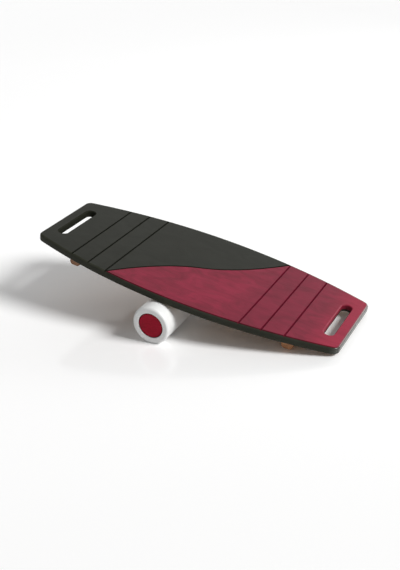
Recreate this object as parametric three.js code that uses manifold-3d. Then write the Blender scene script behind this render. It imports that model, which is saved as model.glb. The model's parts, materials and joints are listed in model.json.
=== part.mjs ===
// Rola bola: a balance deck that rocks and rolls on a loose roller.
// Lengths are in millimetres and angles in radians. Z is up, X runs along the deck towards
// its low end, and Y runs across the deck, along the roller. The low end rests on the floor.

import * as THREE from 'three';
import { mergeVertices } from 'three/addons/utils/BufferGeometryUtils.js';
import Module from 'manifold-3d';

const wasm = await Module();
wasm.setup();

// Deck
const deckLength = 800;
const deckMidWidth = 345;
const deckEndWidth = 226;
const deckThickness = 19;
const deckCornerRadius = 18;
const deckEdgeRadius = 5;

// Hand slots
const slotLength = 147;
const slotWidth = 25;
const slotInset = 41;
const slotEdgeRadius = 3;

// Grooves in the top of the deck
const groovesPerEnd = 3;
const grooveWidth = 4;
const grooveDepth = 2.5;
const outerGrooveInset = 119.5;
const groovePitch = 52.5;
const waveSlopeShare = 0.5;

// Stop bars
const stopLength = 240;
const stopWidth = 28;
const stopHeight = 27;
const stopLowerRadius = 9;
const stopEndRadius = 2;
const stopInset = 115;

// Screws that hold the stop bars
const screwsPerStop = 4;
const screwEndDistance = 25;
const screwLength = 35;
const screwHeadRadius = 4.5;
const screwHeadRim = 0.5;
const screwShankRadius = 2.1;
const screwTipLength = 5;
const screwHeadSink = 3;
const driverSlotLength = 4.6;
const driverSlotWidth = 1.1;
const driverSlotDepth = 1.6;

// Roller
const rollerDiameter = 94;
const rollerLength = 410;
const rollerWall = 17;
const rollerEdgeRadius = 6;
const rollerSeatStep = 2;
const rollerSeatEdgeRadius = 1.5;
const rollerOffset = 18;

// Discs in the roller
const endDiscThickness = 15;
const endDiscRecess = 2;
const endDiscEdgeRadius = 1.2;
const coreDiscThickness = 18;

// Clearances
const restGap = 0.3;
const fitGap = 0.3;
const cutOverrun = 4;

// How finely round shapes are cut
const sideSteps = 24;
const cornerSteps = 5;
const edgeSteps = 3;
const slotEndSteps = 9;
const waveSteps = 28;
const stopArcSteps = 5;
const holeSides = 12;
const rollerSides = 48;
const discSides = 48;
const rimSteps = 3;

// Colours
const charcoal = 0x393a35;
const stopBrown = 0x8a5f42;
const screwSteel = 0x9a9a98;
const tubeWhite = 0xf2f3f1;
const discRed = 0x7d1a26;
const coreWood = 0xc9a878;

// Sizes that follow from the ones above
const deckHalfLength = deckLength / 2;
const deckBow = (deckMidWidth - deckEndWidth) / 2;
const sideRadius = (deckHalfLength ** 2 + deckBow ** 2) / (2 * deckBow);
const sideCentreY = deckMidWidth / 2 - sideRadius;
const rollerRadius = rollerDiameter / 2;
const boreRadius = rollerRadius - rollerWall;
const seatRadius = boreRadius + rollerSeatStep;
const stopX = deckHalfLength - stopInset;
const innerGrooveX = deckHalfLength - outerGrooveInset - (groovesPerEnd - 1) * groovePitch;
const screwHeadHeight = screwHeadRadius - screwShankRadius;
const screwBite = screwLength + screwHeadSink - stopHeight - restGap;

// The deck tilts until the low stop bar, or else the end of the deck, meets the floor
const deckTilt = Math.min(
  tiltUntilFloorMeets(stopX + stopWidth / 2 - stopLowerRadius,
    stopLowerRadius - stopHeight - restGap, stopLowerRadius),
  tiltUntilFloorMeets(deckHalfLength - deckEdgeRadius, deckEdgeRadius, deckEdgeRadius),
);

// The floor is the common tangent of the roller and of a rounded edge under the low end
function tiltUntilFloorMeets(edgeX, edgeZ, edgeRadius) {
  const alongDeck = edgeX + rollerOffset;
  const aboveRoller = edgeZ + rollerRadius + restGap;
  const apart = Math.hypot(alongDeck, aboveRoller);
  return Math.atan2(aboveRoller, alongDeck) + Math.asin((rollerRadius - edgeRadius) / apart);
}

// Solids are cut as manifolds, which need shared vertices and no flat triangles
function toSolid(geometry) {
  const bare = geometry.clone();
  bare.deleteAttribute('normal');
  bare.deleteAttribute('uv');
  const merged = mergeVertices(bare);
  const corners = merged.index.array;
  const triangles = [];
  for (let i = 0; i < corners.length; i += 3) {
    const [a, b, c] = [corners[i], corners[i + 1], corners[i + 2]];
    if (a !== b && b !== c && c !== a) triangles.push(a, b, c);
  }
  return new wasm.Manifold(new wasm.Mesh({
    numProp: 3,
    vertProperties: new Float32Array(merged.attributes.position.array),
    triVerts: new Uint32Array(triangles),
  }));
}

function toGeometry(solid) {
  const mesh = solid.getMesh();
  const geometry = new THREE.BufferGeometry();
  geometry.setAttribute('position', new THREE.BufferAttribute(mesh.vertProperties, 3));
  geometry.setIndex(new THREE.BufferAttribute(mesh.triVerts, 1));
  geometry.computeVertexNormals();
  return geometry;
}

function cutAway(geometry, cutters) {
  let solid = toSolid(geometry);
  for (const cutter of cutters) solid = solid.subtract(toSolid(cutter));
  return toGeometry(solid);
}

function arcPoints(centreX, centreY, radius, from, to, steps) {
  const points = [];
  for (let i = 0; i <= steps; i += 1) {
    const angle = THREE.MathUtils.lerp(from, to, i / steps);
    points.push(new THREE.Vector2(
      centreX + radius * Math.cos(angle),
      centreY + radius * Math.sin(angle),
    ));
  }
  return points;
}

// A turned piece: the profile holds radius and height, and its axis is local Y
function turned(profile, sides) {
  return new THREE.LatheGeometry(profile, sides);
}

// Deck

function deckHalfWidthAt(x) {
  return sideCentreY + Math.sqrt(sideRadius ** 2 - x ** 2);
}

// Two bowed sides and two straight ends, with a round corner between each pair
function deckOutline() {
  const cornerX = deckHalfLength - deckCornerRadius;
  const cornerRise = Math.sqrt((sideRadius - deckCornerRadius) ** 2 - cornerX ** 2);
  const cornerY = sideCentreY + cornerRise;
  const turn = Math.atan2(cornerRise, cornerX);
  const corner = (signX, signY, from, to) => arcPoints(
    signX * cornerX, signY * cornerY, deckCornerRadius, from, to, cornerSteps);
  const side = (sign, from, to) => arcPoints(
    0, sign * sideCentreY, sideRadius, from, to, sideSteps).slice(1, -1);
  return new THREE.Shape([
    ...corner(1, 1, 0, turn),
    ...side(1, turn, Math.PI - turn),
    ...corner(-1, 1, Math.PI - turn, Math.PI),
    ...corner(-1, -1, Math.PI, Math.PI + turn),
    ...side(-1, Math.PI + turn, 2 * Math.PI - turn),
    ...corner(1, -1, 2 * Math.PI - turn, 2 * Math.PI),
  ]);
}

function slotOutline(centreX, radius) {
  const reach = (slotLength - slotWidth) / 2;
  return [
    ...arcPoints(centreX, reach, radius, 0, Math.PI, slotEndSteps),
    ...arcPoints(centreX, -reach, radius, Math.PI, 2 * Math.PI, slotEndSteps),
  ];
}

// A cutter that widens at both faces of the deck, so that the slot gets round rims
function slotCutter(centreX) {
  const rim = arcPoints(slotWidth / 2 + slotEdgeRadius, slotEdgeRadius, slotEdgeRadius,
    -Math.PI / 2, -Math.PI, edgeSteps);
  const lower = [new THREE.Vector2(rim[0].x, -cutOverrun), ...rim];
  const upper = lower.map((p) => new THREE.Vector2(p.x, deckThickness - p.y)).reverse();
  const levels = [...lower, ...upper];
  const positions = [];
  for (const level of levels) {
    for (const point of slotOutline(centreX, level.x)) positions.push(point.x, point.y, level.y);
  }
  const size = positions.length / 3 / levels.length;
  const top = (levels.length - 1) * size;
  const triangles = [];
  for (let i = 1; i + 1 < size; i += 1) {
    triangles.push(0, i + 1, i, top, top + i, top + i + 1);
  }
  for (let start = 0; start < top; start += size) {
    for (let i = 0; i < size; i += 1) {
      const a = start + i;
      const b = start + ((i + 1) % size);
      triangles.push(a, b, b + size, a, b + size, a + size);
    }
  }
  const geometry = new THREE.BufferGeometry();
  geometry.setAttribute('position', new THREE.Float32BufferAttribute(positions, 3));
  geometry.setIndex(triangles);
  return geometry;
}

// A V-shaped cutter along a path in the plane of the deck's top
function grooveCutter(path) {
  const bottomZ = deckThickness - grooveDepth;
  const topZ = deckThickness + cutOverrun;
  const topHalfWidth = (grooveWidth / 2) * ((topZ - bottomZ) / grooveDepth);
  const positions = [];
  const triangles = [];
  path.forEach((point, i) => {
    const before = path[Math.max(i - 1, 0)];
    const after = path[Math.min(i + 1, path.length - 1)];
    const along = after.clone().sub(before).normalize();
    positions.push(point.x - along.y * topHalfWidth, point.y + along.x * topHalfWidth, topZ);
    positions.push(point.x + along.y * topHalfWidth, point.y - along.x * topHalfWidth, topZ);
    positions.push(point.x, point.y, bottomZ);
  });
  for (let i = 0; i + 1 < path.length; i += 1) {
    for (let side = 0; side < 3; side += 1) {
      const a = 3 * i + side;
      const b = 3 * i + ((side + 1) % 3);
      triangles.push(a, b, a + 3, b, b + 3, a + 3);
    }
  }
  const last = 3 * (path.length - 1);
  triangles.push(0, 2, 1, last, last + 1, last + 2);
  const geometry = new THREE.BufferGeometry();
  geometry.setAttribute('position', new THREE.Float32BufferAttribute(positions, 3));
  geometry.setIndex(triangles);
  return geometry;
}

function straightGroovePath(x) {
  const reach = deckMidWidth / 2 + cutOverrun;
  return [new THREE.Vector2(x, -reach), new THREE.Vector2(x, reach)];
}

// The wave runs from the end of one inner groove, through the deck's centre, to the end of
// the other: two mirrored arcs of a parabola, flatter at the centre than at the edges
function wavePath() {
  const waveEndY = deckHalfWidthAt(innerGrooveX);
  const reach = 1 + cutOverrun / waveEndY;
  const points = [];
  for (let i = 0; i <= waveSteps; i += 1) {
    const u = THREE.MathUtils.lerp(-reach, reach, i / waveSteps);
    const rise = waveSlopeShare * u + (1 - waveSlopeShare) * u * Math.abs(u);
    points.push(new THREE.Vector2(innerGrooveX * u, waveEndY * rise));
  }
  return points;
}

function screwPlaces() {
  const reach = stopLength / 2 - screwEndDistance;
  const places = [];
  for (let i = 0; i < screwsPerStop; i += 1) {
    places.push(THREE.MathUtils.lerp(-reach, reach, i / (screwsPerStop - 1)));
  }
  return places;
}

// The deck's own frame has its origin in the middle of the underside
function deckGeometry() {
  const board = new THREE.ExtrudeGeometry(deckOutline(), {
    depth: deckThickness - 2 * deckEdgeRadius,
    bevelThickness: deckEdgeRadius,
    bevelSize: deckEdgeRadius,
    bevelOffset: -deckEdgeRadius,
    bevelSegments: edgeSteps,
  });
  board.translate(0, 0, deckEdgeRadius);

  const cutters = [grooveCutter(wavePath())];
  for (const side of [-1, 1]) {
    cutters.push(slotCutter(side * (deckHalfLength - slotInset)));
    for (let i = 0; i < groovesPerEnd; i += 1) {
      cutters.push(grooveCutter(straightGroovePath(side * (innerGrooveX + i * groovePitch))));
    }
    for (const y of screwPlaces()) {
      const depth = screwBite + fitGap + cutOverrun;
      const hole = new THREE.CylinderGeometry(
        screwShankRadius + fitGap, screwShankRadius + fitGap, depth, holeSides);
      hole.rotateX(Math.PI / 2);
      hole.translate(side * stopX, y, depth / 2 - cutOverrun);
      cutters.push(hole);
    }
  }
  return cutAway(board, cutters);
}

// Stop bars and their screws

// The bar's own frame has its origin in the middle of the top face
function stopGeometry() {
  const outline = new THREE.Shape([
    new THREE.Vector2(stopWidth / 2, 0),
    new THREE.Vector2(-stopWidth / 2, 0),
    ...arcPoints(stopLowerRadius - stopWidth / 2, stopLowerRadius - stopHeight,
      stopLowerRadius, Math.PI, 1.5 * Math.PI, stopArcSteps),
    ...arcPoints(stopWidth / 2 - stopLowerRadius, stopLowerRadius - stopHeight,
      stopLowerRadius, 1.5 * Math.PI, 2 * Math.PI, stopArcSteps),
  ]);
  const bar = new THREE.ExtrudeGeometry(outline, {
    depth: stopLength - 2 * stopEndRadius,
    bevelThickness: stopEndRadius,
    bevelSize: stopEndRadius,
    bevelOffset: -stopEndRadius,
    bevelSegments: edgeSteps,
  });
  bar.translate(0, 0, stopEndRadius - stopLength / 2);
  bar.rotateX(Math.PI / 2);

  const mouthRadius = screwHeadRadius + fitGap;
  const shankRadius = screwShankRadius + fitGap;
  const mouthZ = -(screwHeadHeight + screwHeadRim);
  const profile = [
    new THREE.Vector2(0, mouthZ - screwHeadSink - cutOverrun),
    new THREE.Vector2(mouthRadius, mouthZ - screwHeadSink - cutOverrun),
    new THREE.Vector2(mouthRadius, mouthZ + screwHeadRim),
    new THREE.Vector2(shankRadius, mouthZ + screwHeadRim + mouthRadius - shankRadius),
    new THREE.Vector2(shankRadius, stopHeight + cutOverrun),
    new THREE.Vector2(0, stopHeight + cutOverrun),
  ];
  const cutters = screwPlaces().map((y) => {
    const hole = turned(profile, holeSides);
    hole.rotateX(Math.PI / 2);
    hole.translate(0, y, screwHeadSink - stopHeight - mouthZ);
    return hole;
  });
  return cutAway(bar, cutters);
}

// The screw's axis is local Y, with its head at zero and its tip above
function screwGeometry() {
  const body = turned([
    new THREE.Vector2(0, 0),
    new THREE.Vector2(screwHeadRadius, 0),
    new THREE.Vector2(screwHeadRadius, screwHeadRim),
    new THREE.Vector2(screwShankRadius, screwHeadRim + screwHeadHeight),
    new THREE.Vector2(screwShankRadius, screwLength - screwTipLength),
    new THREE.Vector2(0, screwLength),
  ], holeSides);
  const height = driverSlotDepth + cutOverrun;
  const cutters = [0, Math.PI / 2].map((angle) => {
    const slot = new THREE.BoxGeometry(driverSlotLength, height, driverSlotWidth);
    slot.rotateY(angle);
    slot.translate(0, driverSlotDepth - height / 2, 0);
    return slot;
  });
  return cutAway(body, cutters);
}

// Roller

// Flat faces of the many-sided tube touch the true circle, so it stands at its real height
function rollerTubeGeometry() {
  const outer = rollerRadius / Math.cos(Math.PI / rollerSides);
  const half = rollerLength / 2;
  const seatDepth = endDiscRecess + endDiscThickness + fitGap;
  const end = (sign) => {
    const outerRound = arcPoints(outer - rollerEdgeRadius, half - rollerEdgeRadius,
      rollerEdgeRadius, 0, Math.PI / 2, rimSteps);
    const innerRound = arcPoints(seatRadius + rollerSeatEdgeRadius, half - rollerSeatEdgeRadius,
      rollerSeatEdgeRadius, Math.PI / 2, Math.PI, rimSteps);
    const seat = [
      new THREE.Vector2(seatRadius, half - seatDepth),
      new THREE.Vector2(boreRadius, half - seatDepth),
    ];
    return [...outerRound, ...innerRound, ...seat].map((p) => new THREE.Vector2(p.x, sign * p.y));
  };
  const profile = [...end(1), ...end(-1).reverse()];
  profile.push(profile[0].clone());
  return turned(profile, rollerSides);
}

function discGeometry(radius, thickness, edgeRadius) {
  const half = thickness / 2;
  return turned([
    new THREE.Vector2(0, -half),
    ...arcPoints(radius - edgeRadius, edgeRadius - half, edgeRadius, -Math.PI / 2, 0, rimSteps),
    ...arcPoints(radius - edgeRadius, half - edgeRadius, edgeRadius, 0, Math.PI / 2, rimSteps),
    new THREE.Vector2(0, half),
  ], discSides);
}

// Assembly

function piece(name, geometry, color, roughness, metalness = 0) {
  const material = new THREE.MeshStandardMaterial({ color, roughness, metalness });
  const mesh = new THREE.Mesh(geometry, material);
  mesh.name = name;
  return mesh;
}

function deckAssembly() {
  const group = new THREE.Group();
  group.add(piece('deck', deckGeometry(), charcoal, 0.55));

  const bar = stopGeometry();
  const screw = screwGeometry();
  for (const [end, side] of [['low', 1], ['high', -1]]) {
    const stop = piece(`stop_bar_${end}`, bar, stopBrown, 0.6);
    stop.position.set(side * stopX, 0, -restGap);
    group.add(stop);
    screwPlaces().forEach((y, i) => {
      const fixing = piece(`stop_screw_${end}_${i + 1}`, screw, screwSteel, 0.35, 1);
      fixing.rotation.x = Math.PI / 2;
      fixing.position.set(side * stopX, y, screwHeadSink - stopHeight - restGap);
      group.add(fixing);
    });
  }
  return group;
}

function rollerAssembly() {
  const group = new THREE.Group();
  const tube = piece('roller_tube', rollerTubeGeometry(), tubeWhite, 0.45);
  tube.rotation.y = Math.PI / rollerSides;
  group.add(tube);

  const endDisc = discGeometry(seatRadius - fitGap, endDiscThickness, endDiscEdgeRadius);
  const endDiscY = rollerLength / 2 - endDiscRecess - endDiscThickness / 2;
  for (const [place, side] of [['near', -1], ['far', 1]]) {
    const disc = piece(`roller_end_disc_${place}`, endDisc, discRed, 0.4);
    disc.position.y = side * endDiscY;
    group.add(disc);
  }

  const core = discGeometry(boreRadius - fitGap, coreDiscThickness, endDiscEdgeRadius);
  group.add(piece('roller_core_disc', core, coreWood, 0.7));
  return group;
}

const rolaBola = new THREE.Group();

const roller = rollerAssembly();
roller.position.z = rollerRadius;
rolaBola.add(roller);

// The roller stands a little towards the high end and just clears the deck's underside
const deck = deckAssembly();
deck.rotation.y = deckTilt;
const rollerInDeck = new THREE.Vector3(-rollerOffset, 0, -(rollerRadius + restGap));
deck.position.copy(roller.position).sub(rollerInDeck.applyEuler(deck.rotation));
rolaBola.add(deck);

// The origin lies on the floor under the middle of the whole part
const middle = new THREE.Box3().setFromObject(rolaBola, true).getCenter(new THREE.Vector3());
for (const assembly of rolaBola.children) assembly.position.x -= middle.x;

export default rolaBola;
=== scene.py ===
"""Rola bola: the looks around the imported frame.

Shapes are built in millimetres in each piece's own frame, and placed in metres in the part's frame.
"""

import json
import math

import bmesh
import bpy
import numpy as np
from mathutils import Matrix, Vector
from mathutils.geometry import tessellate_polygon


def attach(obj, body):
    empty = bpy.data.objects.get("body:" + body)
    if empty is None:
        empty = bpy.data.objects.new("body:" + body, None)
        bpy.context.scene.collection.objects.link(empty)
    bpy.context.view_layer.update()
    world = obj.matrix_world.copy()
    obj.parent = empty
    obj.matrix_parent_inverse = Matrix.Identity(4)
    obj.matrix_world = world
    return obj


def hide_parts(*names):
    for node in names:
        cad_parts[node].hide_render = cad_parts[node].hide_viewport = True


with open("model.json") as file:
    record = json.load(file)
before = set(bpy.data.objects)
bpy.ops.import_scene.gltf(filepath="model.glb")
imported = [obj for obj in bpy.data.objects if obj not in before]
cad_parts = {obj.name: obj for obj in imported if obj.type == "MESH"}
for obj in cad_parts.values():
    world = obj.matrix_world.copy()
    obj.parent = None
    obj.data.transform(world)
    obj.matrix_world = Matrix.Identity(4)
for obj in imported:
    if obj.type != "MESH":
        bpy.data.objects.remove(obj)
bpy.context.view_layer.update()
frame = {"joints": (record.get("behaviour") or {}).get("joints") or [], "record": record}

MM = 0.001

# Deck
DECK_LENGTH = 800
DECK_MID_WIDTH = 345
DECK_END_WIDTH = 226
DECK_THICKNESS = 19
DECK_CORNER_RADIUS = 18
DECK_EDGE_RADIUS = 5
SIDE_BOW = (DECK_MID_WIDTH - DECK_END_WIDTH) / 2
SIDE_RADIUS = ((DECK_LENGTH / 2) ** 2 + SIDE_BOW**2) / (2 * SIDE_BOW)
SIDE_CENTRE_Y = DECK_MID_WIDTH / 2 - SIDE_RADIUS

# Hand slots
SLOT_LENGTH = 147
SLOT_WIDTH = 25
SLOT_EDGE_RADIUS = 3
SLOT_INSET = 41
SLOT_X = DECK_LENGTH / 2 - SLOT_INSET

# Straight grooves at each end, and the wave between the innermost ones
GROOVE_COUNT = 3
GROOVE_INSET = 119.5
GROOVE_PITCH = 52.5
GROOVE_HALF_WIDTH = 2
GROOVE_DEPTH = 2.5
GROOVE_LIP_RADIUS = 0.5
GROOVE_LIP_END = math.radians(12)
GROOVE_FLOOR_RADIUS = 0.35
GROOVE_MOUTH_RISE = 0.2
OUTER_GROOVE_X = DECK_LENGTH / 2 - GROOVE_INSET
GROOVE_X = sorted(OUTER_GROOVE_X - k * GROOVE_PITCH for k in range(GROOVE_COUNT))
WAVE_END_X = GROOVE_X[0]
WAVE_SLOPE_SHARE = 0.5

# Stop bars and their screws
STOP_LENGTH = 240
STOP_WIDTH = 28
STOP_HEIGHT = 27
STOP_LOWER_RADIUS = 9
STOP_END_RADIUS = 2
STOP_INSET = 115
STOP_X = DECK_LENGTH / 2 - STOP_INSET
SCREW_END_DISTANCE = 25
SCREW_REACH = STOP_LENGTH / 2 - SCREW_END_DISTANCE
SCREW_Y = (-SCREW_REACH, -SCREW_REACH / 3, SCREW_REACH / 3, SCREW_REACH)
SCREW_LENGTH = 35
SCREW_SHANK_RADIUS = 2.1
SCREW_TIP_LENGTH = 5
SCREW_HEAD_RADIUS = 4.5
SCREW_HEAD_RIM = 0.5
SCREW_HEAD_BEVEL = 0.1
SCREW_HEAD_SINK = 3
RECESS_ARM = 2.3
RECESS_HALF_WIDTH = 0.55
RECESS_DEPTH = 1.6
RECESS_TAPER = 0.35
RECESS_FLARE = 0.4
RECESS_OVERRUN = 1

# Roller
ROLLER_RADIUS = 47
ROLLER_LENGTH = 410
ROLLER_WALL = 17
ROLLER_EDGE_RADIUS = 6
BORE_RADIUS = ROLLER_RADIUS - ROLLER_WALL
SEAT_STEP = 2
SEAT_EDGE_RADIUS = 1.5
SEAT_RADIUS = BORE_RADIUS + SEAT_STEP
END_DISC_THICKNESS = 15
END_DISC_RECESS = 2
CORE_DISC_THICKNESS = 18
DISC_EDGE_RADIUS = 1.2

# Clearances, and how far a cutter stands out of what it cuts
REST_GAP = 0.3
FIT_GAP = 0.3
OVERRUN = 4

# How finely round shapes are made
SIDE_STEPS = 96
CORNER_STEPS = 14
EDGE_STEPS = 8
SLOT_END_STEPS = 28
GROOVE_FLOOR_STEPS = 3
GROOVE_LIP_STEPS = 4
WAVE_STEPS = 120
STOP_ARC_STEPS = 12
SCREW_SIDES = 40
PILOT_HOLE_SIDES = 24
TUBE_SIDES = 160
TUBE_EDGE_STEPS = 10
SEAT_EDGE_STEPS = 6
DISC_SIDES = 128
DISC_EDGE_STEPS = 5

# How meshes are handled. The distance is in metres.
MERGE_DISTANCE = 1e-7
LEVEL_NORMAL_Z = 0.9999
SHARP_ANGLE = math.radians(32)
FLAT_FACE_WEIGHT = 100
CUT_SLOTS = 2
OWN_FRAME = "own_frame"

# Deck finish, in mm. The stain goes down to a depth, and its border is a little blurred.
STAIN_DEPTH = DECK_THICKNESS / 2
GROOVE_STAIN_DEPTH = GROOVE_DEPTH + 1
EDGE_STAIN_DEPTH = 0.8
STAIN_BLUR = 0.2
SLOT_STAIN_MARGIN = 6
SLOT_BLACK_TO, SLOT_STAIN_FROM = 6, 8
# Painted sheen: the stain is painted paler towards the low end between these two x.
PAINTED_SHEEN_FROM, PAINTED_SHEEN_TO = 310, 370
# The stain is darker in a band round this x, and fades out between these distances from it.
MIDDLE_BAND_X = 225
MIDDLE_BAND_FULL_TO, MIDDLE_BAND_END = 50, 120
BARE_TO, PAINT_FROM = 0.05, 0.15
END_GLOSS_FROM, END_GLOSS_TO = 380, 394

# Roller finish: distances from the axis in mm
# Painted shade towards the disc's rim, between these distances.
DISC_RIM_SHADE_FROM, DISC_RIM_SHADE_TO = 28.4, 30.2
# Painted highlight on the tube's lip round each disc, fading out where the face starts.
TUBE_LIP_HIGHLIGHT_TO, TUBE_FACE_FROM = 33.4, 34.4

# Linear colours
STAIN_DARK = (0.15, 0.012, 0.026)
STAIN_LIGHT = (0.238, 0.017, 0.042)
# A paler stain: painted sheen at the low end.
STAIN_PAINTED_SHEEN = (0.33, 0.017, 0.046)
STAIN_STREAK = (0.11, 0.013, 0.023)
STAIN_FIBRE = (0.27, 0.028, 0.055)
# Stain for the darker band across the middle of the stained half.
STAIN_MIDDLE_BAND = (0.125, 0.012, 0.026)
CHARCOAL_DARK = (0.0205, 0.0215, 0.0155)
CHARCOAL_LIGHT = (0.026, 0.027, 0.0205)
PLYWOOD_DARK = (0.27, 0.17, 0.1)
PLYWOOD_LIGHT = (0.36, 0.24, 0.15)
PLYWOOD_FIBRE = (0.2, 0.115, 0.06)
STOP_WOOD_DARK = (0.27, 0.12, 0.055)
STOP_WOOD_LIGHT = (0.42, 0.21, 0.1)
CORE_WOOD_DARK = (0.5, 0.34, 0.17)
CORE_WOOD_LIGHT = (0.68, 0.52, 0.32)
TUBE_HAZE = (0.88, 0.885, 0.875)
TUBE_WHITE = (0.91, 0.915, 0.905)
TUBE_RING = (0.74, 0.745, 0.73)
# Painted highlight on the lip round each disc.
TUBE_LIP_HIGHLIGHT = (1.0, 1.0, 0.99)
DISC_DARK = (0.31, 0.0045, 0.019)
DISC_LIGHT = (0.43, 0.007, 0.03)
# Painted shade at the disc's rim.
DISC_RIM_SHADE = (0.045, 0.002, 0.005)
STEEL_DARK = (0.5, 0.5, 0.49)
STEEL_LIGHT = (0.62, 0.62, 0.6)
FLOOR_WHITE = (0.955, 0.955, 0.953)
FLOOR_WHITE_SEEN = (1.17, 1.17, 1.168)
SKY_WHITE = (1, 1, 1, 1)

# How many cells of noise lie on a metre of each axis. Grain runs along the smallest number.
PLYWOOD_GRAIN = (9, 80, 80)
PLYWOOD_FIBRES = (26, 480, 480)
STOP_WOOD_GRAIN = (150, 11, 150)
CORE_WOOD_GRAIN = (30, 220, 220)

# Fibres: how much finer than the grain, how dark, and how much of them paint lets show
FIBRE_FINENESS = 4
FIBRE_TINT = 0.55
GRAIN_UNDER_PAINT = 0.35

# Between what values a noise lies on most of a surface, and on nearly all of it
NOISE_MIDDLE = (0.35, 0.65)
NOISE_RANGE = (0.3, 0.7)

# Floor, in mm
FLOOR_HALF_SIZE = 20000
FLOOR_DROP = 0.1
FLOOR_ROUGHNESS = 0.12
FLOOR_GLOSS = 0.4

# Light: the world, the sun, and a box lamp in metres and watts
SOFT_LIGHT = 0.24
SURROUND_LIGHT = 1.0
OVERHEAD_LIGHT = 0.15
OVERHEAD_FROM, OVERHEAD_TO = 0.5, 0.66
KEY_DIRECTION = (0.77, 0.05, 0.62)
KEY_STRENGTH = 2.85
KEY_ANGLE = math.radians(20)
BACK_BOX_DIRECTION = (0.45, 0.83, 0.3)
BACK_BOX_DISTANCE = 3
BACK_BOX_SIZE = 1.6
BACK_BOX_POWER = 28

# Camera: place and clipping in metres, lens and sensor in mm
CAMERA_PLACE = (0.938615, -1.712009, 1.025361)
CAMERA_TURN = (
    (0.88936634, -0.14848355, 0.43241202),
    (0.45240957, 0.42230415, -0.78548379),
    (-0.06597796, 0.89421017, 0.44275847),
)
CAMERA_LENS = 55.809
CAMERA_SENSOR = 36
CAMERA_CLIP = (0.05, 100)


# Where the assemblies stand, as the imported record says


def deck_placement():
    """The deck's own frame: its origin is in the middle of the underside."""
    places = frame["record"]["mounts"]
    normal = Vector(places[0]["axis"]).normalized()
    on_top = (Vector(places[0]["pos_m"]) + Vector(places[1]["pos_m"])) / 2
    tilt = Matrix.Rotation(math.atan2(normal.x, normal.z), 4, "Y")
    return Matrix.Translation(on_top - normal * DECK_THICKNESS * MM) @ tilt


def roller_placement():
    """The roller's own frame: its origin is in the middle, and its axis is Y."""
    spin = next(j for j in frame["joints"] if j["name"] == "roller_spin")
    return Matrix.Translation(spin["pos_m"])


def moved(x, y, z):
    """A move in millimetres."""
    return Matrix.Translation((x * MM, y * MM, z * MM))


# Shapes


def arc(x, y, radius, start, end, steps):
    angles = np.linspace(start, end, steps + 1)
    return [(x + radius * math.cos(a), y + radius * math.sin(a)) for a in angles]


def deck_half_width(x):
    return SIDE_CENTRE_Y + math.sqrt(SIDE_RADIUS**2 - x**2)


def deck_outline(inset):
    """Two bowed sides, two straight ends and round corners, moved in by inset."""
    corner_x = DECK_LENGTH / 2 - DECK_CORNER_RADIUS
    rise = math.sqrt((SIDE_RADIUS - DECK_CORNER_RADIUS) ** 2 - corner_x**2)
    corner_y = SIDE_CENTRE_Y + rise
    turn = math.atan2(rise, corner_x)
    corner_radius, side_radius = DECK_CORNER_RADIUS - inset, SIDE_RADIUS - inset

    def corner(sign_x, sign_y, start, end):
        return arc(sign_x * corner_x, sign_y * corner_y, corner_radius, start, end, CORNER_STEPS)

    def side(sign_y, start, end):
        return arc(0, sign_y * SIDE_CENTRE_Y, side_radius, start, end, SIDE_STEPS)[1:-1]

    return [
        *corner(1, 1, 0, turn),
        *side(1, turn, math.pi - turn),
        *corner(-1, 1, math.pi - turn, math.pi),
        *corner(-1, -1, math.pi, math.pi + turn),
        *side(-1, math.pi + turn, 2 * math.pi - turn),
        *corner(1, -1, 2 * math.pi - turn, 2 * math.pi),
    ]


def slot_outline(x, inset):
    """Clockwise, so that its walls face into the slot. A positive inset widens it."""
    radius = SLOT_WIDTH / 2
    reach = SLOT_LENGTH / 2 - radius
    points = arc(x, reach, radius + inset, 0, math.pi, SLOT_END_STEPS)
    points += arc(x, -reach, radius + inset, math.pi, 2 * math.pi, SLOT_END_STEPS)
    return points[::-1]


def stop_profile(inset):
    """The bar's section, counter-clockwise, with its top at zero."""
    half = STOP_WIDTH / 2
    radius = STOP_LOWER_RADIUS
    low = radius - STOP_HEIGHT
    points = [(half - inset, -inset), (inset - half, -inset)]
    for x, start in ((radius - half, math.pi), (half - radius, 1.5 * math.pi)):
        points += arc(x, low, radius - inset, start, start + math.pi / 2, STOP_ARC_STEPS)
    return points


def cross_outline(grow):
    """The screw's recess: a cross with four equal arms."""
    arm, half = RECESS_ARM + grow, RECESS_HALF_WIDTH + grow / 2
    corner = [(arm, -half), (arm, half), (half, half)]
    turns = [Matrix.Rotation(k * math.pi / 2, 2) for k in range(4)]
    return [tuple(turn @ Vector(point)) for turn in turns for point in corner]


def rounded_levels(thickness, radius):
    """Pairs of inset and height that round both faces of a plate."""
    turns = np.linspace(0, math.pi / 2, EDGE_STEPS + 1)
    up = [(radius * (1 - math.cos(a)), radius * math.sin(a)) for a in turns]
    bottom = [(inset, radius - rise) for inset, rise in reversed(up)]
    return bottom + [(inset, thickness - radius + rise) for inset, rise in up]


def linked(name, data):
    """A new object in the scene."""
    obj = bpy.data.objects.new(name, data)
    bpy.context.scene.collection.objects.link(obj)
    return obj


def new_object(name, vertices, faces):
    """A mesh object from millimetres, with its faces pointing out."""
    mesh = bpy.data.meshes.new(name)
    mesh.from_pydata([tuple(float(c) * MM for c in v) for v in vertices], [], faces)
    bm = bmesh.new()
    bm.from_mesh(mesh)
    bmesh.ops.remove_doubles(bm, verts=bm.verts, dist=MERGE_DISTANCE)
    bmesh.ops.recalc_face_normals(bm, faces=bm.faces)
    bm.to_mesh(mesh)
    bm.free()
    return linked(name, mesh)


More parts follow.
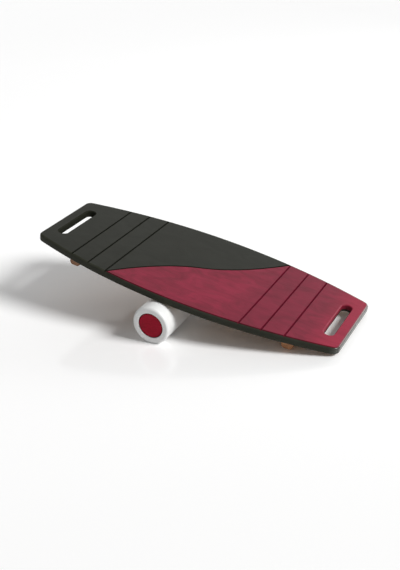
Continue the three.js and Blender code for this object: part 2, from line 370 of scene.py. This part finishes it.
def plate(name, loops):
    """A flat solid. Each loop is an outline and its levels, the outer one first."""
    vertices, faces, caps = [], [], ([], [])
    for outline, levels in loops:
        size = len(outline(0))
        start = len(vertices)
        for inset, height in levels:
            vertices += [(x, y, height) for x, y in outline(inset)]
        for level in range(len(levels) - 1):
            for i in range(size):
                a = start + level * size + i
                b = start + level * size + (i + 1) % size
                faces.append((a, b, b + size, a + size))
        top = start + (len(levels) - 1) * size
        caps[0].append(range(start, start + size))
        caps[1].append(range(top, top + size))
    for rings in caps:
        order = [i for ring in rings for i in ring]
        flat = [[Vector(vertices[i]) for i in ring] for ring in rings]
        faces += [tuple(order[i] for i in triangle) for triangle in tessellate_polygon(flat)]
    return new_object(name, vertices, faces)


def lathe(name, profile, sides):
    """A solid turned about Y. The profile gives radius and height, and closes if it has a bore."""
    vertices, faces = [], []
    angles = [2 * math.pi * k / sides for k in range(sides)]
    for radius, height in profile:
        vertices += [(radius * math.sin(a), height, radius * math.cos(a)) for a in angles]
    count = len(profile)
    bored = min(radius for radius, _ in profile) > 0
    for row in range(count if bored else count - 1):
        below, above = row * sides, ((row + 1) % count) * sides
        for k in range(sides):
            n = (k + 1) % sides
            faces.append((below + k, below + n, above + n, above + k))
    return new_object(name, vertices, faces)


def swept(name, path, section):
    """A cutter along a path in the plane of the deck's top. The section gives offset and height."""
    path = np.array(path, float)
    along = np.gradient(path, axis=0)
    along /= np.linalg.norm(along, axis=1)[:, None]
    vertices, faces = [], []
    for (x, y), (dx, dy) in zip(path, along):
        vertices += [(x - dy * s, y + dx * s, z) for s, z in section]
    size = len(section)
    for row in range(len(path) - 1):
        for i in range(size):
            a, b = row * size + i, row * size + (i + 1) % size
            faces.append((a, b, b + size, a + size))
    faces.append(tuple(range(size)))
    faces.append(tuple(range(len(vertices) - size, len(vertices))))
    return new_object(name, vertices, faces)


def cut(obj, cutter, material_index=0):
    """Cuts the cutter out of obj. The faces that it leaves get that material index."""
    for polygon in cutter.data.polygons:
        polygon.material_index = material_index
    for mesh in (obj.data, cutter.data):
        for _ in range(CUT_SLOTS - len(mesh.materials)):
            mesh.materials.append(None)
    modifier = obj.modifiers.new("cut", "BOOLEAN")
    modifier.operation = "DIFFERENCE"
    modifier.solver = "EXACT"
    modifier.material_mode = "INDEX"
    modifier.object = cutter
    graph = bpy.context.evaluated_depsgraph_get()
    made = bpy.data.meshes.new_from_object(obj.evaluated_get(graph))
    obj.modifiers.clear()
    obj.data = made
    bpy.data.objects.remove(cutter)


def smooth(obj):
    """Round faces shade smooth, flat ones stay flat, and sharp edges stay sharp."""
    obj.data.polygons.foreach_set("use_smooth", [True] * len(obj.data.polygons))
    obj.data.set_sharp_from_angle(angle=SHARP_ANGLE)
    weighted = obj.modifiers.new("flat faces stay flat", "WEIGHTED_NORMAL")
    weighted.keep_sharp = True
    weighted.weight = FLAT_FACE_WEIGHT
    return obj


# Materials


def add(tree, kind, inputs=None, **settings):
    """A node. Its inputs are sockets of other nodes, or values."""
    node = tree.nodes.new(kind)
    for key, value in settings.items():
        setattr(node, key, value)
    for key, value in (inputs or {}).items():
        if isinstance(value, bpy.types.NodeSocket):
            tree.links.new(value, node.inputs[key])
        else:
            node.inputs[key].default_value = value
    return node


def calc(tree, operation, *values):
    return add(tree, "ShaderNodeMath", dict(enumerate(values)), operation=operation).outputs[0]


def away_from(tree, value, middle):
    return calc(tree, "ABSOLUTE", calc(tree, "SUBTRACT", value, middle))


def spread(tree, value, low, high, to_low=0.0, to_high=1.0):
    """Maps low to high onto to_low to to_high, and stays there beyond them."""
    inputs = {"Value": value, "From Min": low, "From Max": high}
    inputs |= {"To Min": to_low, "To Max": to_high}
    return add(tree, "ShaderNodeMapRange", inputs).outputs[0]


def mixed(tree, factor, first, second):
    """A blend of two colours, each a socket or red, green and blue."""
    first, second = [(*c, 1.0) if isinstance(c, tuple) else c for c in (first, second)]
    inputs = {0: factor, 6: first, 7: second}
    return add(tree, "ShaderNodeMix", inputs, data_type="RGBA").outputs[2]


def tinted(color, share):
    return tuple(c * share for c in color)


def noise(tree, coordinates, stretch, detail, roughness, distortion=0.0, offset=(0, 0, 0)):
    """Noise in the piece's own frame. stretch gives how many cells lie on a metre of each axis."""
    inputs = {"Vector": coordinates, "Scale": stretch, "Location": offset}
    inputs = {
        "Vector": add(tree, "ShaderNodeMapping", inputs).outputs[0],
        "Scale": 1.0,
        "Detail": detail,
        "Roughness": roughness,
        "Distortion": distortion,
    }
    return add(tree, "ShaderNodeTexNoise", inputs).outputs[0]


def split(tree, coordinates):
    return add(tree, "ShaderNodeSeparateXYZ", {0: coordinates}).outputs


def from_axis(tree, coordinates):
    """How far a point lies from the piece's own Y axis."""
    x, _, z = split(tree, coordinates)
    squares = calc(tree, "ADD", calc(tree, "MULTIPLY", x, x), calc(tree, "MULTIPLY", z, z))
    return calc(tree, "SQRT", squares)


def material(name):
    """An empty node material, with the coordinates of its piece's own frame."""
    made = bpy.data.materials.new(name)
    made.use_nodes = True
    tree = made.node_tree
    tree.nodes.clear()
    return made, tree, add(tree, "ShaderNodeAttribute", attribute_name=OWN_FRAME).outputs["Vector"]


def finish(tree, color, roughness, height, bump, gloss=0.5, metallic=0.0):
    """Closes a material. The bump is how many millimetres a height of one stands out."""
    inputs = {"Height": height, "Distance": bump * MM, "Strength": 1.0}
    inputs = {
        "Base Color": color,
        "Roughness": roughness,
        "Normal": add(tree, "ShaderNodeBump", inputs).outputs[0],
        "Specular IOR Level": gloss,
        "Metallic": metallic,
    }
    shader = add(tree, "ShaderNodeBsdfPrincipled", inputs)
    add(tree, "ShaderNodeOutputMaterial", {"Surface": shader.outputs[0]})


def stained_side(tree, x, y):
    """One on the low end's side of the wave, and zero on the other."""
    u = calc(tree, "DIVIDE", x, WAVE_END_X * MM)
    square = calc(tree, "MULTIPLY", u, calc(tree, "ABSOLUTE", u))
    steep = calc(tree, "MULTIPLY", square, 1 - WAVE_SLOPE_SHARE)
    rise = calc(tree, "MULTIPLY_ADD", u, WAVE_SLOPE_SHARE, steep)
    wave_y = calc(tree, "MULTIPLY", rise, deck_half_width(WAVE_END_X) * MM)
    return spread(tree, calc(tree, "SUBTRACT", wave_y, y), -STAIN_BLUR * MM, STAIN_BLUR * MM)


def stained_part(tree, x, y, z, depth):
    """One where the deck is stained, and zero where it is painted."""
    floor = DECK_THICKNESS - depth
    upper = spread(tree, z, (floor - STAIN_BLUR) * MM, (floor + STAIN_BLUR) * MM)
    reach_x = (SLOT_WIDTH / 2 + SLOT_STAIN_MARGIN) * MM
    reach_y = (SLOT_LENGTH / 2 + SLOT_STAIN_MARGIN) * MM
    by_slot_x = calc(tree, "LESS_THAN", away_from(tree, x, SLOT_X * MM), reach_x)
    by_slot_y = calc(tree, "LESS_THAN", calc(tree, "ABSOLUTE", y), reach_y)
    above_black = spread(tree, z, SLOT_BLACK_TO * MM, SLOT_STAIN_FROM * MM)
    in_slot = calc(tree, "MULTIPLY", calc(tree, "MULTIPLY", by_slot_x, by_slot_y), above_black)
    return calc(tree, "MULTIPLY", stained_side(tree, x, y), calc(tree, "MAXIMUM", upper, in_slot))


def stain_color(tree, x, clouds, streaks, fibres, tint):
    """Red stain, with painted sheen towards the low end, and darker in a band round the grooves."""
    dark, light = tinted(STAIN_DARK, tint), tinted(STAIN_LIGHT, tint)
    color = mixed(tree, spread(tree, clouds, 0.36, 0.64), dark, light)
    from_middle_band = away_from(tree, x, MIDDLE_BAND_X * MM)
    for pattern, start, full, share, other in (
        # painted sheen: the stain pales towards the low end
        (x, PAINTED_SHEEN_FROM * MM, PAINTED_SHEEN_TO * MM, 0.6, STAIN_PAINTED_SHEEN),
        (streaks, 0.52, 0.74, 0.45, STAIN_STREAK),
        (fibres, 0.5, 0.75, 0.3, STAIN_FIBRE),
        (from_middle_band, MIDDLE_BAND_END * MM, MIDDLE_BAND_FULL_TO * MM, 0.4, STAIN_MIDDLE_BAND),
    ):
        factor = spread(tree, pattern, start, full, 0, share)
        color = mixed(tree, factor, color, tinted(other, tint))
    return color


def deck_material(name, stain_depth, red, grey, roughness, gloss, end_gloss=None):
    """Charcoal paint, with stained wood on the low end's side of the wave, and bare wood below.

    The stain goes down to a depth in mm, and further in the low end's slot. red and grey
    lighten or darken the stain and the paint, and end_gloss is the gloss at the low end.
    """
    made, tree, coordinates = material(name)
    x, y, z = split(tree, coordinates)
    stained = stained_part(tree, x, y, z, stain_depth)
    underside = spread(tree, z, BARE_TO * MM, PAINT_FROM * MM, 1, 0)

    clouds = noise(tree, coordinates, (13, 26, 26), 4, 0.62, distortion=1.2)
    streaks = noise(tree, coordinates, PLYWOOD_GRAIN, 5, 0.62, distortion=0.9, offset=(3, 1, 0))
    fibres = noise(tree, coordinates, PLYWOOD_FIBRES, 3, 0.6, distortion=0.3, offset=(0, 5, 2))
    specks = noise(tree, coordinates, (900, 900, 900), 2, 0.5)

    stain = stain_color(tree, x, clouds, streaks, fibres, red)
    dark, light = tinted(CHARCOAL_DARK, grey), tinted(CHARCOAL_LIGHT, grey)
    paint = mixed(tree, spread(tree, clouds, *NOISE_MIDDLE), dark, light)
    bare = mixed(tree, spread(tree, streaks, *NOISE_MIDDLE), PLYWOOD_DARK, PLYWOOD_LIGHT)
    bare = mixed(tree, spread(tree, fibres, 0.5, 0.75, 0, 0.4), bare, PLYWOOD_FIBRE)
    color = mixed(tree, underside, mixed(tree, stained, paint, stain), bare)

    rough_paint = spread(tree, specks, *NOISE_RANGE, roughness - 0.05, roughness + 0.05)
    rough_stain = spread(tree, streaks, *NOISE_RANGE, roughness - 0.12, roughness + 0.02)
    rougher = calc(tree, "SUBTRACT", rough_stain, rough_paint)
    rough = calc(tree, "MULTIPLY_ADD", rougher, stained, rough_paint)
    grain = calc(tree, "MULTIPLY", fibres, spread(tree, stained, 0, 1, GRAIN_UNDER_PAINT, 1))
    height = calc(tree, "MULTIPLY_ADD", specks, 0.25, grain)
    if end_gloss is not None:
        gloss = spread(tree, x, END_GLOSS_FROM * MM, END_GLOSS_TO * MM, gloss, end_gloss)
    finish(tree, color, rough, height, bump=0.12, gloss=gloss)
    return made


def wood_material(name, dark, light, grain, roughness):
    """Bare or oiled wood, with bands along the grain and finer fibres in them."""
    made, tree, coordinates = material(name)
    bands = noise(tree, coordinates, grain, 4, 0.6, distortion=0.7)
    finer = tuple(FIBRE_FINENESS * cells for cells in grain)
    fibres = noise(tree, coordinates, finer, 3, 0.6, distortion=0.2, offset=(2, 7, 1))
    color = mixed(tree, spread(tree, bands, *NOISE_MIDDLE), dark, light)
    color = mixed(tree, spread(tree, fibres, 0.52, 0.72, 0, 0.5), color, tinted(dark, FIBRE_TINT))
    rough = spread(tree, fibres, *NOISE_RANGE, roughness - 0.08, roughness + 0.08)
    finish(tree, color, rough, fibres, bump=0.15, gloss=0.35)
    return made


def tube_material():
    """White moulded plastic with faint rubbed rings, and a painted highlight on the lip round each
    disc.
    """
    made, tree, coordinates = material("roller_white")
    rings = noise(tree, coordinates, (6, 260, 6), 3, 0.6, distortion=0.3)
    haze = noise(tree, coordinates, (14, 14, 14), 4, 0.6, distortion=0.5, offset=(1, 2, 3))
    specks = noise(tree, coordinates, (700, 700, 700), 2, 0.5)
    lip = spread(tree, from_axis(tree, coordinates), TUBE_LIP_HIGHLIGHT_TO * MM, TUBE_FACE_FROM * MM, 1, 0)
    color = mixed(tree, spread(tree, haze, *NOISE_MIDDLE), TUBE_HAZE, TUBE_WHITE)
    color = mixed(tree, spread(tree, rings, 0.6, 0.8, 0, 0.35), color, TUBE_RING)
    # Painted highlight: the lip round each disc is whiter, where light catches it.
    color = mixed(tree, lip, color, TUBE_LIP_HIGHLIGHT)
    rough = spread(tree, rings, *NOISE_RANGE, 0.3, 0.42)
    height = calc(tree, "MULTIPLY_ADD", rings, 0.4, specks)
    finish(tree, color, rough, height, bump=0.05)
    return made


def disc_material():
    """Deep red paint over a sawn disc, with painted shade at the rim, where the gap round it lies.
    """
    made, tree, coordinates = material("disc_red")
    brushed = noise(tree, coordinates, (60, 60, 260), 4, 0.6, distortion=0.8)
    specks = noise(tree, coordinates, (500, 500, 500), 2, 0.5)
    # Painted shade: the disc darkens towards its rim, where the gap round it lies in shade.
    rim = spread(tree, from_axis(tree, coordinates), DISC_RIM_SHADE_FROM * MM, DISC_RIM_SHADE_TO * MM, 0, 0.85)
    color = mixed(tree, spread(tree, brushed, *NOISE_MIDDLE), DISC_DARK, DISC_LIGHT)
    color = mixed(tree, rim, color, DISC_RIM_SHADE)
    rough = spread(tree, brushed, *NOISE_RANGE, 0.38, 0.5)
    height = calc(tree, "MULTIPLY_ADD", specks, 0.3, brushed)
    finish(tree, color, rough, height, bump=0.12, gloss=0.09)
    return made


def steel_material():
    """Zinc plated steel."""
    made, tree, coordinates = material("screw_steel")
    patches = noise(tree, coordinates, (900, 900, 900), 3, 0.6)
    color = mixed(tree, spread(tree, patches, *NOISE_MIDDLE), STEEL_DARK, STEEL_LIGHT)
    rough = spread(tree, patches, *NOISE_RANGE, 0.26, 0.42)
    finish(tree, color, rough, patches, bump=0.02, metallic=1.0)
    return made


# Pieces


def place(obj, matrix, body, node, slot, *materials):
    """Moves the mesh to its place. Its materials follow its own frame, which an attribute keeps."""
    mesh = obj.data
    for _ in range(len(materials) - len(mesh.materials)):
        mesh.materials.append(None)
    for _ in range(len(mesh.materials) - len(materials)):
        mesh.materials.pop()
    for index, made in enumerate(materials):
        mesh.materials[index] = made
    own = np.empty(3 * len(mesh.vertices), np.float32)
    mesh.vertices.foreach_get("co", own)
    mesh.attributes.new(OWN_FRAME, "FLOAT_VECTOR", "POINT").data.foreach_set("vector", own)
    mesh.transform(matrix)
    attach(obj, body)
    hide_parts(node)


# The deck's materials by index. The first is on its faces and in the low end's slot.
FACES, GROOVES, EDGES, HIGH_SLOT, DRILLED = range(5)


def groove_section():
    """The groove's section, with rounded lips and floor, closed above the deck."""
    slope = math.atan2(GROOVE_DEPTH, GROOVE_HALF_WIDTH)
    floor_z = DECK_THICKNESS - GROOVE_DEPTH + GROOVE_FLOOR_RADIUS / math.cos(slope)
    lip_x = GROOVE_HALF_WIDTH + GROOVE_LIP_RADIUS * math.tan(slope / 2)
    lip_z = DECK_THICKNESS - GROOVE_LIP_RADIUS
    down, up = -math.pi / 2, math.pi / 2
    half = arc(0, floor_z, GROOVE_FLOOR_RADIUS, down, down + slope, GROOVE_FLOOR_STEPS)
    half += arc(lip_x, lip_z, GROOVE_LIP_RADIUS, up + slope, up + GROOVE_LIP_END, GROOVE_LIP_STEPS)
    x, z = half[-1]
    mouth_x = x + GROOVE_MOUTH_RISE / math.tan(GROOVE_LIP_END)
    half += [(mouth_x, z + GROOVE_MOUTH_RISE), (mouth_x, z + OVERRUN)]
    return half + [(-x, z) for x, z in reversed(half[1:])]


def wave_path():
    """Two mirrored parabolas that meet in the middle, and run ever more across the deck."""
    end_y = deck_half_width(WAVE_END_X)
    reach = 1 + OVERRUN / end_y
    path = []
    for u in np.linspace(-reach, reach, WAVE_STEPS + 1):
        rise = WAVE_SLOPE_SHARE * u + (1 - WAVE_SLOPE_SHARE) * u * abs(u)
        path.append((WAVE_END_X * u, end_y * rise))
    return path


def pilot_hole(x, y):
    """The hole in the deck's underside that a screw bites into."""
    depth = SCREW_LENGTH + SCREW_HEAD_SINK - STOP_HEIGHT - REST_GAP + FIT_GAP
    radius = SCREW_SHANK_RADIUS + FIT_GAP
    profile = [(0, -OVERRUN), (radius, -OVERRUN), (radius, depth), (0, depth)]
    hole = lathe("pilot_hole", profile, PILOT_HOLE_SIDES)
    hole.data.transform(moved(x, y, 0) @ Matrix.Rotation(math.pi / 2, 4, "X"))
    return hole


def build_deck():
    """The board with its slots, then the grooves and the wave, and the pilot holes last."""
    loops = [(deck_outline, rounded_levels(DECK_THICKNESS, DECK_EDGE_RADIUS))]
    slot_levels = rounded_levels(DECK_THICKNESS, SLOT_EDGE_RADIUS)
    for side in (-1, 1):
        loops.append((lambda inset, x=side * SLOT_X: slot_outline(x, inset), slot_levels))
    board = plate("deck_board", loops)

    section = groove_section()
    reach = DECK_MID_WIDTH / 2 + OVERRUN
    for x in (*GROOVE_X, *(-x for x in GROOVE_X)):
        cut(board, swept("groove", [(x, -reach), (x, reach)], section), GROOVES)
    cut(board, swept("wave", wave_path(), section), GROOVES)

    for _ in (EDGES, HIGH_SLOT, DRILLED):
        board.data.materials.append(None)
    for polygon in board.data.polygons:
        if polygon.material_index != FACES or abs(polygon.normal.z) > LEVEL_NORMAL_Z:
            continue
        x, y, _ = polygon.center / MM
        if abs(abs(x) - SLOT_X) > SLOT_WIDTH or abs(y) > SLOT_LENGTH / 2 + SLOT_EDGE_RADIUS:
            polygon.material_index = EDGES
        elif x < 0:
            polygon.material_index = HIGH_SLOT

    for x in (-STOP_X, STOP_X):
        for y in SCREW_Y:
            cut(board, pilot_hole(x, y), DRILLED)
    return smooth(board)


def screw_hole():
    """The hole through a bar, countersunk from below, with the bar's top at zero."""
    head = SCREW_HEAD_RADIUS + FIT_GAP
    shank = SCREW_SHANK_RADIUS + FIT_GAP
    seat = SCREW_HEAD_SINK - STOP_HEIGHT + SCREW_HEAD_RIM
    profile = [
        (0, -STOP_HEIGHT - OVERRUN),
        (head, -STOP_HEIGHT - OVERRUN),
        (head, seat),
        (shank, seat + head - shank),
        (shank, OVERRUN),
        (0, OVERRUN),
    ]
    return lathe("screw_hole", profile, SCREW_SIDES)


def build_stop(name):
    """The bar lies along Y, with its top face at height zero."""
    bar = plate(name, [(stop_profile, rounded_levels(STOP_LENGTH, STOP_END_RADIUS))])
    bar.data.transform(Matrix.Rotation(math.pi / 2, 4, "X") @ moved(0, 0, -STOP_LENGTH / 2))
    for y in SCREW_Y:
        hole = screw_hole()
        hole.data.transform(moved(0, y, 0) @ Matrix.Rotation(math.pi / 2, 4, "X"))
        cut(bar, hole)
    return smooth(bar)


def build_screw(name):
    """The head is at zero and the tip above it, on Z."""
    profile = [
        (0, 0),
        (SCREW_HEAD_RADIUS - SCREW_HEAD_BEVEL, 0),
        (SCREW_HEAD_RADIUS, SCREW_HEAD_BEVEL),
        (SCREW_HEAD_RADIUS, SCREW_HEAD_RIM),
        (SCREW_SHANK_RADIUS, SCREW_HEAD_RIM + SCREW_HEAD_RADIUS - SCREW_SHANK_RADIUS),
        (SCREW_SHANK_RADIUS, SCREW_LENGTH - SCREW_TIP_LENGTH),
        (0, SCREW_LENGTH),
    ]
    screw = lathe(name, profile, SCREW_SIDES)
    levels = [(RECESS_FLARE, -RECESS_OVERRUN), (0, 0), (-RECESS_TAPER, RECESS_DEPTH)]
    recess = plate("recess", [(cross_outline, levels)])
    recess.data.transform(Matrix.Rotation(-math.pi / 2, 4, "X"))
    cut(screw, recess)
    screw.data.transform(Matrix.Rotation(math.pi / 2, 4, "X"))
    return smooth(screw)


def build_tube():
    """The thick tube, with a seat for a disc at each end."""
    half = ROLLER_LENGTH / 2
    edge, seat_edge = ROLLER_EDGE_RADIUS, SEAT_EDGE_RADIUS
    seat_floor = half - END_DISC_RECESS - END_DISC_THICKNESS - FIT_GAP
    end = arc(ROLLER_RADIUS - edge, half - edge, edge, 0, math.pi / 2, TUBE_EDGE_STEPS)
    lip_radius = SEAT_RADIUS + seat_edge
    end += arc(lip_radius, half - seat_edge, seat_edge, math.pi / 2, math.pi, SEAT_EDGE_STEPS)
    end += [(SEAT_RADIUS, seat_floor), (BORE_RADIUS, seat_floor)]
    profile = end + [(radius, -height) for radius, height in reversed(end)]
    return smooth(lathe("roller_shell", profile, TUBE_SIDES))


def build_disc(name, radius, thickness):
    """A disc on Y with both edges rounded, in the middle of its own frame."""
    half, edge = thickness / 2, DISC_EDGE_RADIUS
    face = arc(radius - edge, half - edge, edge, 0, math.pi / 2, DISC_EDGE_STEPS) + [(0, half)]
    return smooth(lathe(name, [(r, -h) for r, h in reversed(face)] + face, DISC_SIDES))


deck_at = deck_placement()
roller_at = roller_placement()

place(
    build_deck(),
    deck_at,
    "deck",
    "deck",
    "deck_finish",
    deck_material(
        "deck_paint_and_stain", STAIN_DEPTH, red=1.1, grey=0.86, roughness=0.5, gloss=0.2
    ),
    # Painted shade: the grooves' stain and paint are darker than on the faces, for the shade in
    # them.
    deck_material("deck_grooves", GROOVE_STAIN_DEPTH, red=0.6, grey=0.42, roughness=0.6, gloss=0),
    # Painted light and shade: on the edges the paint is lighter than on the faces, for the band
    # that faces away from the lamps, and the stain on the rounding is darker.
    deck_material(
        "deck_edges",
        EDGE_STAIN_DEPTH,
        red=0.42,
        grey=1.65,
        roughness=0.25,
        gloss=0.04,
        end_gloss=0.4,
    ),
    deck_material("deck_high_slot", STAIN_DEPTH, red=1.2, grey=0.9, roughness=0.6, gloss=0),
    wood_material("deck_drilled_wood", PLYWOOD_DARK, PLYWOOD_LIGHT, PLYWOOD_GRAIN, roughness=0.65),
)

screw_steel = steel_material()
# Painted light and shade: the same wood is painted lighter on the low bar, as if lit, and darker on
# the high bar, as if in the deck's shade.
for end, side, painted_light_tone in (("low", 1, 1.7), ("high", -1, 0.84)):
    dark, light = tinted(STOP_WOOD_DARK, painted_light_tone), tinted(STOP_WOOD_LIGHT, painted_light_tone)
    stop_wood = wood_material(f"stop_wood_{end}", dark, light, STOP_WOOD_GRAIN, roughness=0.5)
    at_bar = deck_at @ moved(side * STOP_X, 0, -REST_GAP)
    bar = build_stop(f"stop_wood_bar_{end}")
    place(bar, at_bar, "deck", f"stop_bar_{end}", "stop_wood", stop_wood)
    for number, y in enumerate(SCREW_Y, 1):
        at_screw = at_bar @ moved(0, y, SCREW_HEAD_SINK - STOP_HEIGHT)
        screw = build_screw(f"screw_{end}_{number}")
        place(screw, at_screw, "deck", f"stop_screw_{end}_{number}", "screw_steel", screw_steel)

place(build_tube(), roller_at, "roller", "roller_tube", "tube_plastic", tube_material())
disc_red = disc_material()
for name, side in (("near", -1), ("far", 1)):
    disc_y = side * (ROLLER_LENGTH / 2 - END_DISC_RECESS - END_DISC_THICKNESS / 2)
    disc = build_disc(f"roller_disc_{name}", SEAT_RADIUS - FIT_GAP, END_DISC_THICKNESS)
    at_disc = roller_at @ moved(0, disc_y, 0)
    place(disc, at_disc, "roller", f"roller_end_disc_{name}", "disc_red", disc_red)
core = build_disc("roller_core", BORE_RADIUS - FIT_GAP, CORE_DISC_THICKNESS)
core_wood = wood_material(
    "core_wood", CORE_WOOD_DARK, CORE_WOOD_LIGHT, CORE_WOOD_GRAIN, roughness=0.65
)
place(core, roller_at, "roller_core", "roller_core_disc", "core_wood", core_wood)


# Stage


def seen_rays(tree):
    """One for rays that show what they meet, and zero for those that only carry light."""
    path = add(tree, "ShaderNodeLightPath").outputs
    seen = calc(tree, "MAXIMUM", path["Is Camera Ray"], path["Is Glossy Ray"])
    return calc(tree, "MAXIMUM", seen, path["Is Transmission Ray"])


def build_floor():
    """Pale and glossy, and seen from above only, so that the underside can be looked at."""
    half = FLOOR_HALF_SIZE
    corners = [(-half, -half), (half, -half), (half, half), (-half, half)]
    mesh = bpy.data.meshes.new("floor")
    places = [(x * MM, y * MM, -FLOOR_DROP * MM) for x, y in corners]
    mesh.from_pydata(places, [], [(0, 1, 2, 3)])
    made, tree, _ = material("floor_white")
    inputs = {
        "Base Color": mixed(tree, seen_rays(tree), FLOOR_WHITE, FLOOR_WHITE_SEEN),
        "Roughness": FLOOR_ROUGHNESS,
        "Specular IOR Level": FLOOR_GLOSS,
    }
    paint = add(tree, "ShaderNodeBsdfPrincipled", inputs)
    clear = add(tree, "ShaderNodeBsdfTransparent")
    below = add(tree, "ShaderNodeNewGeometry").outputs["Backfacing"]
    both = add(tree, "ShaderNodeMixShader", {0: below, 1: paint.outputs[0], 2: clear.outputs[0]})
    add(tree, "ShaderNodeOutputMaterial", {"Surface": both.outputs[0]})
    mesh.materials.append(made)
    linked("floor", mesh)


def build_world():
    """Even soft light. The camera and reflections see a white surround that greys overhead."""
    world = bpy.data.worlds.new("studio")
    bpy.context.scene.world = world
    world.use_nodes = True
    tree = world.node_tree
    tree.nodes.clear()
    height = split(tree, add(tree, "ShaderNodeTexCoord").outputs["Generated"])[2]
    surround = spread(
        tree, height, OVERHEAD_FROM, OVERHEAD_TO, to_low=SURROUND_LIGHT, to_high=OVERHEAD_LIGHT
    )
    brighter = calc(tree, "SUBTRACT", surround, SOFT_LIGHT)
    strength = calc(tree, "MULTIPLY_ADD", brighter, seen_rays(tree), SOFT_LIGHT)
    sky = add(tree, "ShaderNodeBackground", {"Color": SKY_WHITE, "Strength": strength})
    add(tree, "ShaderNodeOutputWorld", {"Surface": sky.outputs[0]})


def shining_from(obj, direction):
    """Turns a lamp so that its light comes from that direction."""
    obj.rotation_mode = "QUATERNION"
    obj.rotation_quaternion = Vector(direction).to_track_quat("Z", "Y")


def build_sun():
    """The broad main light, from above the low end."""
    light = bpy.data.lights.new("soft_key", "SUN")
    light.energy = KEY_STRENGTH
    light.angle = KEY_ANGLE
    shining_from(linked("soft_key", light), KEY_DIRECTION)


def build_back_light():
    """A low soft box behind the low end. It glosses the edges and the top."""
    light = bpy.data.lights.new("back_box", "AREA")
    light.size = BACK_BOX_SIZE
    light.energy = BACK_BOX_POWER
    box = linked("back_box", light)
    box.location = Vector(BACK_BOX_DIRECTION).normalized() * BACK_BOX_DISTANCE
    box.visible_camera = False
    shining_from(box, BACK_BOX_DIRECTION)


def build_camera():
    """Stands where the photograph's perspective puts it."""
    data = bpy.data.cameras.new("camera")
    data.sensor_width = CAMERA_SENSOR
    data.lens = CAMERA_LENS
    data.clip_start, data.clip_end = CAMERA_CLIP
    camera = linked("camera", data)
    camera.matrix_world = Matrix.Translation(CAMERA_PLACE) @ Matrix(CAMERA_TURN).to_4x4()
    bpy.context.scene.camera = camera


build_floor()
build_world()
build_sun()
build_back_light()
build_camera()
bpy.context.scene.view_settings.view_transform = "Standard"
